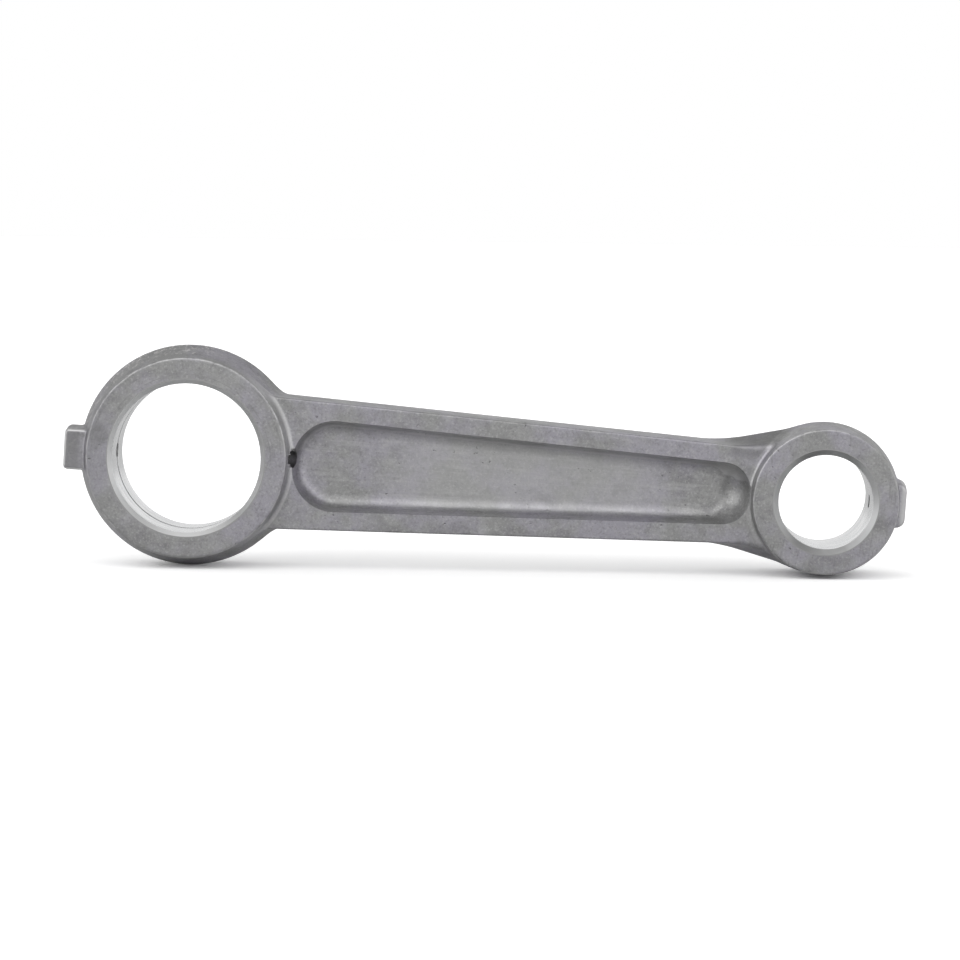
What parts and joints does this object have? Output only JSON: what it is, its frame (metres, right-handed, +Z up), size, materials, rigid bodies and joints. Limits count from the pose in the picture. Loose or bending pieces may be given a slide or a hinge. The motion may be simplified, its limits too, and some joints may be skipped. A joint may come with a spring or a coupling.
{
  "type": "connecting rod",
  "caption": "One-piece cast aluminium connecting rod with a closed big end, a recessed I-section shank, a small end and pressed bearing bushes.",
  "frame": {"origin": "centre of the big-end bore, half way along it", "axes": "+X along the rod from the big end to the small end, +Y along both bores, +Z up with the rod standing on edge"},
  "size_m": [0.1994, 0.022, 0.0524],
  "materials": {
    "casting": "as-cast die-cast aluminium, satin grey",
    "bush": "finely bored bearing alloy, bright"
  },
  "bodies": {
    "root": {"rod_body": "casting", "big_end_bush_front": "bush", "big_end_bush_rear": "bush", "small_end_bush": "bush"}
  },
  "joints": []
}
